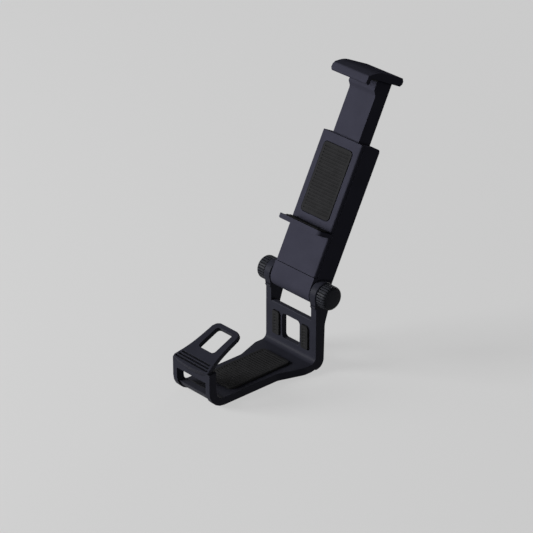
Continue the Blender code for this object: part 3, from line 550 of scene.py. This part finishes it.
class Bench:
    """The modelling steps that the pieces share."""

    @staticmethod
    def select_only(piece: bpy.types.Object) -> None:
        """Select one piece and make it the active one.

        Args:
            piece: the piece.
        """
        bpy.ops.object.select_all(action="DESELECT")
        piece.select_set(True)
        bpy.context.view_layer.objects.active = piece

    @staticmethod
    def open_faces(piece: bpy.types.Object, pick: Callable[[bpy.types.MeshPolygon], bool]) -> None:
        """Open a piece in edit mode with only some of its faces selected.

        Args:
            piece: the piece.
            pick: tells of a face whether it is selected.
        """
        Bench.select_only(piece)
        bpy.ops.object.mode_set(mode="EDIT")
        bpy.ops.mesh.select_mode(type="FACE")
        bpy.ops.mesh.select_all(action="DESELECT")
        bpy.ops.object.mode_set(mode="OBJECT")
        for face in piece.data.polygons:
            face.select = pick(face)
        bpy.ops.object.mode_set(mode="EDIT")

    @staticmethod
    def copy(pattern: bpy.types.Object, name: str) -> bpy.types.Object:
        """Copy a pattern with a mesh of its own.

        Args:
            pattern: the object that is copied.
            name: the new piece's name.

        Returns:
            The new piece.
        """
        piece = bpy.data.objects.new(name, pattern.data.copy())
        bpy.context.scene.collection.objects.link(piece)
        return piece

    @staticmethod
    def merged_copy(node: str, name: str) -> bpy.types.Object:
        """Copy a node of the frame and merge its loose triangles into one surface.

        Args:
            node: the node that is copied.
            name: the new piece's name.

        Returns:
            The new piece.
        """
        piece = Bench.copy(frame["nodes"][node], name)
        Bench.select_only(piece)
        bpy.ops.object.mode_set(mode="EDIT")
        bpy.ops.mesh.select_all(action="SELECT")
        bpy.ops.mesh.remove_doubles(threshold=MERGE_REACH)
        bpy.ops.mesh.dissolve_limited(angle_limit=math.radians(FLAT_ANGLE))
        bpy.ops.object.mode_set(mode="OBJECT")
        return piece

    @staticmethod
    def rod(radius: float, length: float, sides: int, middle: Vector, lie: Lie) -> bpy.types.Object:
        """Add a plain rod with its place in its mesh.

        Args:
            radius: its radius.
            length: its length.
            sides: sides round it.
            middle: where its middle lies.
            lie: whether it stands or lies across.

        Returns:
            The rod.
        """
        bpy.ops.object.select_all(action="DESELECT")
        bpy.ops.mesh.primitive_cylinder_add(vertices=sides, radius=radius, depth=length, location=middle,
                                            rotation=(0.0, lie.value, 0.0))
        bpy.ops.object.transform_apply(location=True, rotation=True)
        return bpy.context.object

    @staticmethod
    def apply(piece: bpy.types.Object) -> None:
        """Apply every modifier of a piece in order.

        Args:
            piece: the piece.
        """
        Bench.select_only(piece)
        for modifier in list(piece.modifiers):
            bpy.ops.object.modifier_apply(modifier=modifier.name)

    @staticmethod
    def combine(piece: bpy.types.Object, tool: bpy.types.Object, work: Work) -> None:
        """Join or cut a piece with a tool and drop the tool.

        Args:
            piece: the piece that stays.
            tool: the object that shapes it.
            work: whether the tool is joined on or cut out.
        """
        boolean = piece.modifiers.new("combine", "BOOLEAN")
        boolean.operation = work.value
        boolean.solver = "EXACT"
        boolean.object = tool
        Bench.apply(piece)
        bpy.data.objects.remove(tool, do_unlink=True)

    @staticmethod
    def round_edges(piece: bpy.types.Object, width: float, segments: int, angle: float) -> None:
        """Round the edges of a piece that are sharper than an angle.

        Args:
            piece: the piece.
            width: width of the rounding in metres.
            segments: faces across it.
            angle: the angle in degrees.
        """
        bevel = piece.modifiers.new("round", "BEVEL")
        bevel.width = width
        bevel.segments = segments
        bevel.limit_method = "ANGLE"
        bevel.angle_limit = math.radians(angle)
        bevel.use_clamp_overlap = False
        Bench.apply(piece)

    @staticmethod
    def shade(piece: bpy.types.Object, angle: float) -> None:
        """Shade a piece smooth up to an angle, with its large faces kept flat.

        Each corner takes the mean, by area, of the faces round it that turn by less than the angle.

        Args:
            piece: the piece.
            angle: the angle in degrees past which an edge stays sharp.
        """
        mesh = piece.data
        mesh.shade_smooth()
        limit = math.cos(math.radians(angle))
        faces = [(face.normal.copy(), face.area) for face in mesh.polygons]
        around = [[] for _vertex in mesh.vertices]
        for face in mesh.polygons:
            for vertex in face.vertices:
                around[vertex].append(face.index)
        normals = []
        for face in mesh.polygons:
            for vertex in face.vertices:
                near = [faces[index] for index in around[vertex] if faces[index][0].dot(face.normal) > limit]
                normals.append(sum((normal * area for normal, area in near), Vector()).normalized())
        mesh.normals_split_custom_set(normals)


@dataclass
class Mouldings:
    """The plastic mouldings, smoothed from the frame's own solids."""

    paintbox: Paintbox
    smooth_angle: float = 50.0
    nodes: tuple[tuple[str, Body, Slot], ...] = (
        ("cradle", Body.CRADLE, Slot.CRADLE_SHELL),
        ("rear_shell", Body.ARM, Slot.ARM_SHELL),
        ("front_cover", Body.ARM, Slot.ARM_SHELL),
        ("lower_jaw", Body.ARM, Slot.ARM_SHELL),
        ("upper_jaw", Body.JAW, Slot.ARM_SHELL),
        ("slider_cover", Body.JAW, Slot.ARM_SHELL),
    )

    def build(self) -> list[bpy.types.Object]:
        """Build every moulding.

        Returns:
            The mouldings.
        """
        made = []
        for node, body, slot in self.nodes:
            piece = Bench.merged_copy(node, node + "_moulding")
            Bench.shade(piece, self.smooth_angle)
            self.paintbox.dress(piece, slot)
            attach(piece, body.value)
            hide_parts(node)
            made.append(piece)
        return made


@dataclass
class Knobs:
    """The two hinge knobs: a drum whose grooves run over its rounded edge to a low domed cap.

    Each node comes with its turn about the upright axis. The pocket on a knob's ear side takes the
    bolt's head or the nut. The grooves end where a face's normal reaches groove_end along the hinge.
    """

    paintbox: Paintbox
    ribs: int = 26
    faces_a_rib: int = 3
    groove_depth: float = 0.55 * MM
    groove_slant: float = 0.04 * MM
    groove_end: float = 0.80
    edge_radius: float = 1.9 * MM
    edge_steps: int = 8
    dome_rise: float = 0.2 * MM
    dome_rings: tuple[float, ...] = (0.66, 0.33)
    pocket_sides: int = 6
    pocket_flats: float = 7.6 * MM
    pocket_depth: float = 3.2 * MM
    rim: float = 0.06 * MM
    rim_steps: int = 2
    rim_angle: float = 50.0
    smooth_angle: float = 40.0
    nodes: tuple[tuple[str, Body, float], ...] = (
        ("knob_left", Body.LEFT_KNOB, math.pi),
        ("knob_right", Body.RIGHT_KNOB, 0.0),
    )

    def outline(self, radius: float, drum: float, length: float) -> list[tuple[float, float]]:
        """Work out the turned outline from the drum's end to the last ring of the dome.

        Args:
            radius: the knob's radius.
            drum: the length of the straight drum.
            length: the knob's length.

        Returns:
            Pairs of a place along the axis and a radius.
        """
        outline = []
        for step in range(1, self.edge_steps + 1):
            turn = math.pi / 2.0 * step / self.edge_steps
            outline.append((drum + self.edge_radius * math.sin(turn),
                            radius - self.edge_radius * (1.0 - math.cos(turn))))
        for share in self.dome_rings:
            outline.append((length - self.dome_rise * share ** 2, (radius - self.edge_radius) * share))
        return outline

    def sunk(self, face: bpy.types.MeshPolygon) -> bool:
        """Tell whether a face is one of those that are sunk between two ribs.

        Args:
            face: a face of a knob that lies along X.

        Returns:
            Whether it is sunk.
        """
        sides = self.ribs * self.faces_a_rib
        side = int(math.atan2(face.center.z, face.center.y) / (2.0 * math.pi) * sides // 1)
        return -FACING < face.normal.x < self.groove_end and side % self.faces_a_rib == 0

    def turned(self, radius: float, length: float) -> bpy.types.Object:
        """Build the smooth drum with its rounded edge and its dome.

        Args:
            radius: the knob's radius.
            length: the knob's length.

        Returns:
            The drum.
        """
        drum = length - self.dome_rise - self.edge_radius
        middle = Vector((drum / 2.0, 0.0, 0.0))
        knob = Bench.rod(radius, drum, self.ribs * self.faces_a_rib, middle, Lie.ACROSS)
        Bench.open_faces(knob, lambda face: face.normal.x > FACING)
        here, width = drum, radius
        for place, next_width in self.outline(radius, drum, length):
            share = next_width / width
            bpy.ops.mesh.extrude_region_move(TRANSFORM_OT_translate={"value": (place - here, 0.0, 0.0)})
            bpy.ops.transform.resize(value=(1.0, share, share), center_override=(place, 0.0, 0.0))
            here, width = place, next_width
        bpy.ops.object.mode_set(mode="OBJECT")
        return knob

    def pattern(self, radius: float, length: float) -> bpy.types.Object:
        """Build one knob whose ear side lies at the origin and whose end looks along +X.

        Args:
            radius: the knob's radius.
            length: the knob's length.

        Returns:
            The knob.
        """
        knob = self.turned(radius, length)
        Bench.open_faces(knob, self.sunk)
        bpy.ops.mesh.inset(thickness=self.groove_slant, depth=-self.groove_depth)
        bpy.ops.object.mode_set(mode="OBJECT")
        corner = self.pocket_flats / 2.0 / math.cos(math.pi / self.pocket_sides)
        pocket = Bench.rod(corner, 2.0 * self.pocket_depth, self.pocket_sides, Vector(), Lie.ACROSS)
        Bench.combine(knob, pocket, Work.CUT)
        Bench.round_edges(knob, self.rim, self.rim_steps, self.rim_angle)
        Bench.shade(knob, self.smooth_angle)
        self.paintbox.dress(knob, Slot.KNOB_PLASTIC)
        return knob

    def build(self) -> list[bpy.types.Object]:
        """Build one knob and put a copy on each end of the hinge.

        Returns:
            The knobs.
        """
        lowest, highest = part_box("knob_right")
        pattern = self.pattern((highest.z - lowest.z) / 2.0, highest.x - lowest.x)
        made = []
        for node, body, turn in self.nodes:
            knob = Bench.copy(pattern, node + "_turned")
            knob.data.transform(Matrix.Translation(HINGE) @ Matrix.Rotation(turn, 4, "Z")
                                @ Matrix.Translation((lowest.x, 0.0, 0.0)))
            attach(knob, body.value)
            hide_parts(node)
            made.append(knob)
        bpy.data.objects.remove(pattern, do_unlink=True)
        return made


@dataclass
class GripPads:
    """The rubber pads, with soft rims and a field of grooves across the face that grips.

    Each node comes with roughly where its gripping face looks.
    """

    paintbox: Paintbox
    rim: float = 0.16 * MM
    rim_steps: int = 3
    rim_angle: float = 50.0
    smooth_angle: float = 40.0
    groove_sides: int = 20
    groove_pitch: float = 1.7 * MM
    groove_radius: float = 0.42 * MM
    groove_depth: float = 0.26 * MM
    groove_margin: float = 1.5 * MM
    nodes: tuple[tuple[str, Body, Triple], ...] = (
        ("seat_pad", Body.CRADLE, (0.0, 0.0, 1.0)),
        ("tongue_pad", Body.CRADLE, (0.0, 0.4, -0.9)),
        ("rear_pad_left", Body.CRADLE, (0.0, -1.0, 0.0)),
        ("rear_pad_right", Body.CRADLE, (0.0, -1.0, 0.0)),
        ("lower_jaw_pad", Body.ARM, (0.0, 0.45, 0.9)),
        ("back_pad", Body.ARM, (0.0, -0.9, 0.45)),
        ("upper_jaw_pad", Body.JAW, (0.0, -0.45, -0.9)),
    )

    def groove(self, pad: bpy.types.Object, grip: Vector) -> None:
        """Cut a field of round-bottomed grooves across the face of a pad that grips.

        Args:
            pad: the pad.
            grip: roughly where that face looks.
        """
        face = max(pad.data.polygons, key=lambda face: face.area * face.normal.dot(grip))
        out = face.normal.copy()
        along = out.cross(Vector((1.0, 0.0, 0.0))).normalized()
        corners = [pad.data.vertices[index].co for index in face.vertices]
        reach = [corner.dot(along) for corner in corners]
        sides = [corner.x for corner in corners]
        count = int((max(reach) - min(reach) - 2.0 * self.groove_margin) / self.groove_pitch) + 1
        middle = Vector(((max(sides) + min(sides)) / 2.0, 0.0, 0.0))
        middle += along * (max(reach) + min(reach)) / 2.0 + out * corners[0].dot(out)
        first = middle - along * (count - 1) * self.groove_pitch / 2.0
        lift = out * (self.groove_radius - self.groove_depth)
        length = max(sides) - min(sides) - 2.0 * self.groove_margin
        bar = Bench.rod(self.groove_radius, length, self.groove_sides, first + lift, Lie.ACROSS)
        row = bar.modifiers.new("row", "ARRAY")
        row.count = count
        row.use_relative_offset = False
        row.use_constant_offset = True
        row.constant_offset_displace = along * self.groove_pitch
        Bench.apply(bar)
        Bench.combine(pad, bar, Work.CUT)

    def build(self) -> list[bpy.types.Object]:
        """Build every pad.

        Returns:
            The pads.
        """
        made = []
        for node, body, grip in self.nodes:
            piece = Bench.merged_copy(node, node + "_rubber")
            self.groove(piece, Vector(grip))
            Bench.round_edges(piece, self.rim, self.rim_steps, self.rim_angle)
            Bench.shade(piece, self.smooth_angle)
            self.paintbox.dress(piece, Slot.RUBBER_PAD)
            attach(piece, body.value)
            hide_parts(node)
            made.append(piece)
        return made


@dataclass
class Springs:
    """The two tension springs between the arm's pin and the jaw's pin, smooth copies that stay where they lie."""

    paintbox: Paintbox
    smooth_angle: float = 80.0
    hook_reach: float = 3.6 * MM
    pins: tuple[str, str] = ("lower_spring_pin", "upper_spring_pin")
    nodes: tuple[str, ...] = ("spring_left", "spring_right")

    def build(self) -> list[bpy.types.Object]:
        """Build both springs.

        Returns:
            The springs.
        """
        made = []
        for node in self.nodes:
            piece = Bench.merged_copy(node, node + "_wire")
            Bench.shade(piece, self.smooth_angle)
            self.paintbox.dress(piece, Slot.SPRING_STEEL)
            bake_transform(piece)
            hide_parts(node)
            made.append(piece)
        return made


@dataclass
class Screws:
    """The six flat-headed screws, each with a cross recess in its head.

    Screws whose lengths differ by less than about length_step share a pattern.
    """

    paintbox: Paintbox
    head_radius: float = 1.5 * MM
    head_height: float = 0.75 * MM
    head_sides: int = 48
    shank_radius: float = 0.8 * MM
    shank_sides: int = 24
    rim: float = 0.12 * MM
    rim_steps: int = 3
    rim_angle: float = 60.0
    smooth_angle: float = 40.0
    recess_length: float = 1.7 * MM
    recess_width: float = 0.36 * MM
    recess_depth: float = 0.45 * MM
    length_step: float = 0.1 * MM
    nodes: tuple[tuple[str, Body], ...] = (
        ("cover_screw_1", Body.ARM),
        ("cover_screw_2", Body.ARM),
        ("cover_screw_3", Body.ARM),
        ("cover_screw_4", Body.ARM),
        ("slider_screw_1", Body.JAW),
        ("slider_screw_2", Body.JAW),
    )

    def disc(self, radius: float, low: float, high: float, sides: int) -> bpy.types.Object:
        """Add an upright cylinder between two heights."""
        return Bench.rod(radius, high - low, sides, Vector((0.0, 0.0, (low + high) / 2.0)), Lie.UP)

    def bar(self, along_x: float, along_y: float) -> bpy.types.Object:
        """Add a bar that cuts one line of the cross into the head.

        Args:
            along_x: its size along X.
            along_y: its size along Y.

        Returns:
            The bar.
        """
        bpy.ops.object.select_all(action="DESELECT")
        bpy.ops.mesh.primitive_cube_add(size=1.0)
        piece = bpy.context.object
        piece.scale = (along_x, along_y, 2.0 * self.recess_depth)
        bpy.ops.object.transform_apply(scale=True)
        return piece

    def pattern(self, length: float) -> bpy.types.Object:
        """Build an upright screw whose head's top lies at the origin.

        Args:
            length: the screw's length.

        Returns:
            The screw.
        """
        screw = self.disc(self.head_radius, -self.head_height, 0.0, self.head_sides)
        Bench.round_edges(screw, self.rim, self.rim_steps, self.rim_angle)
        shank = self.disc(self.shank_radius, -length, -self.head_height / 2.0, self.shank_sides)
        Bench.combine(screw, shank, Work.JOIN)
        Bench.combine(screw, self.bar(self.recess_length, self.recess_width), Work.CUT)
        Bench.combine(screw, self.bar(self.recess_width, self.recess_length), Work.CUT)
        Bench.shade(screw, self.smooth_angle)
        self.paintbox.dress(screw, Slot.SCREW_STEEL)
        return screw

    def build(self) -> list[bpy.types.Object]:
        """Build one screw of each length, and copy it to every place that the frame gives it.

        Returns:
            The screws.
        """
        patterns, made = {}, []
        for node, body in self.nodes:
            points = [ARM_FRAME.inverted() @ vertex.co for vertex in frame["nodes"][node].data.vertices]
            lowest, highest = (Vector(map(pick, zip(*points))) for pick in (min, max))
            length = highest.y - lowest.y
            kind = round(length / self.length_step)
            if kind not in patterns:
                patterns[kind] = self.pattern(length)
            screw = Bench.copy(patterns[kind], node + "_cross")
            middle = (lowest + highest) / 2.0
            seat = Matrix.Translation((middle.x, highest.y, middle.z))
            screw.data.transform(ARM_FRAME @ (seat @ Matrix.Rotation(-math.pi / 2.0, 4, "X")))
            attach(screw, body.value)
            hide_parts(node)
            made.append(screw)
        for pattern in patterns.values():
            bpy.data.objects.remove(pattern, do_unlink=True)
        return made


@dataclass(frozen=True)
class Lamp:
    """A square lamp that points at the object.

    level is how bright a white surface that faces the lamp becomes, where 1 is white.
    """

    name: str
    direction: Triple
    level: float
    size: float
    distance: float = 1.2

    def hang(self, target: Vector) -> None:
        """Hang the lamp and point it at a place.

        Args:
            target: the place.
        """
        data = bpy.data.lights.new(self.name, "AREA")
        data.shape = "SQUARE"
        data.size = self.size
        data.energy = self.level * (math.pi * self.distance) ** 2
        lamp = bpy.data.objects.new(self.name, data)
        bpy.context.scene.collection.objects.link(lamp)
        away = Vector(self.direction).normalized()
        lamp.location = target + away * self.distance
        lamp.rotation_euler = (-away).to_track_quat("-Z", "Y").to_euler()


@dataclass
class Studio:
    """Pale floor, soft lamps and a dim surround that the camera sees as pale.

    floor_glow is the share of the floor's brightness that no shadow takes away, and floor_lift makes up
    for the slant at which the lamps light it. floor_bounce and surround_light are what the object gets.
    """

    pale: Colour = (0.604, 0.604, 0.604)
    ceiling: Colour = (0.020, 0.020, 0.022)
    pale_rise: float = 0.20
    ceiling_rise: float = 0.55
    surround_light: Colour = (0.06, 0.06, 0.06)
    floor_side: float = 8.0
    floor_glow: float = 0.85
    floor_lift: float = 2.5
    floor_bounce: Colour = (0.03, 0.03, 0.03)
    lamps: tuple[Lamp, ...] = field(default_factory=lambda: (
        Lamp("key_lamp", (-0.60, -0.72, 0.30), level=1.00, size=0.50),
        Lamp("fill_lamp", (0.80, -0.50, 0.20), level=0.07, size=0.40),
        Lamp("back_lamp", (-0.35, 0.93, 0.02), level=0.30, size=0.50),
    ))

    def lay_floor(self, height: float) -> None:
        """Lay the floor under the object.

        Args:
            height: the object's lowest point.
        """
        bpy.ops.object.select_all(action="DESELECT")
        bpy.ops.mesh.primitive_plane_add(size=self.floor_side, location=(0.0, 0.0, height))
        floor = bpy.context.object
        floor.name = "studio_floor"
        tree = NodeTree(bpy.data.materials.new("studio_floor"))
        tree.set("Roughness", 1.0)
        tree.set("Specular IOR Level", 0.0)
        tree.feed(tree.shader.inputs["Emission Color"], self.pale)
        seen = tree.seen()
        lit = scaled(self.pale, (1.0 - self.floor_glow) * self.floor_lift)
        tree.join(tree.blend(seen, self.floor_bounce, lit), tree.shader.inputs["Base Color"])
        glow = tree.add("ShaderNodeMath", operation="MULTIPLY")
        glow.inputs[1].default_value = self.floor_glow
        tree.join(seen, glow.inputs[0])
        tree.join(glow.outputs["Value"], tree.shader.inputs["Emission Strength"])
        floor.data.materials.append(tree.owner)

    def surround(self) -> None:
        """Set the world: pale where it is seen, dim as a light."""
        tree = NodeTree(bpy.data.worlds.new("surround"), "Background")
        bpy.context.scene.world = tree.owner
        rise = tree.add("ShaderNodeSeparateXYZ")
        tree.join(tree.add("ShaderNodeTexCoord").outputs["Generated"], rise.inputs["Vector"])
        share = tree.ramp(rise.outputs["Z"], self.pale_rise, self.ceiling_rise)
        sky = tree.blend(share, self.pale, self.ceiling)
        tree.join(tree.blend(tree.seen(), self.surround_light, sky), tree.shader.inputs["Color"])

    def build(self, middle: Vector, lowest: float) -> None:
        """Set the whole studio round the object.

        Args:
            middle: the middle of the object.
            lowest: height of its lowest point.
        """
        self.lay_floor(lowest)
        self.surround()
        for lamp in self.lamps:
            lamp.hang(middle)


@dataclass(frozen=True)
class PhotoCamera:
    """The camera at the photograph's viewing angle.

    It looks past aim by aim_right and aim_up, and sees from nearest to farthest.
    """

    azimuth: float = 47.8
    elevation: float = 27.0
    distance: float = 1.368
    focal_pixels: float = 2735.0
    image_pixels: float = 533.0
    sensor_width: float = 36.0
    aim: Triple = (0.0, 36.0 * MM, 35.6 * MM)
    aim_right: float = -17.1 * MM
    aim_up: float = 7.7 * MM
    nearest: float = 0.05
    farthest: float = 30.0

    def place(self) -> None:
        """Make the camera and put it in its place."""
        azimuth, elevation = math.radians(self.azimuth), math.radians(self.elevation)
        back = Vector((math.sin(azimuth) * math.cos(elevation), -math.cos(azimuth) * math.cos(elevation),
                       math.sin(elevation)))
        right = Vector((math.cos(azimuth), math.sin(azimuth), 0.0))
        up = back.cross(right)
        data = bpy.data.cameras.new("photo_camera")
        data.sensor_width = self.sensor_width
        data.lens = self.focal_pixels / self.image_pixels * self.sensor_width
        data.clip_start = self.nearest
        data.clip_end = self.farthest
        camera = bpy.data.objects.new("photo_camera", data)
        bpy.context.scene.collection.objects.link(camera)
        target = Vector(self.aim) + right * self.aim_right + up * self.aim_up
        camera.location = target + back * self.distance
        camera.rotation_euler = (-back).to_track_quat("-Z", "Y").to_euler()
        bpy.context.scene.camera = camera


def main() -> None:
    """Dress the frame, build every group of pieces, and set the studio and the camera."""
    logging.basicConfig(level=logging.INFO)
    bpy.context.scene.view_settings.view_transform = "Standard"
    paintbox = Paintbox()
    paintbox.dress_frame()
    for group in (Mouldings, Knobs, GripPads, Springs, Screws):
        for piece in group(paintbox).build():
            log.info("%s: %s, %d faces", group.__name__, piece.name, len(piece.data.polygons))
    lowest, highest = cad_bounds
    Studio().build((lowest + highest) / 2.0, lowest.z)
    PhotoCamera().place()


if __name__ == "__main__":
    main()
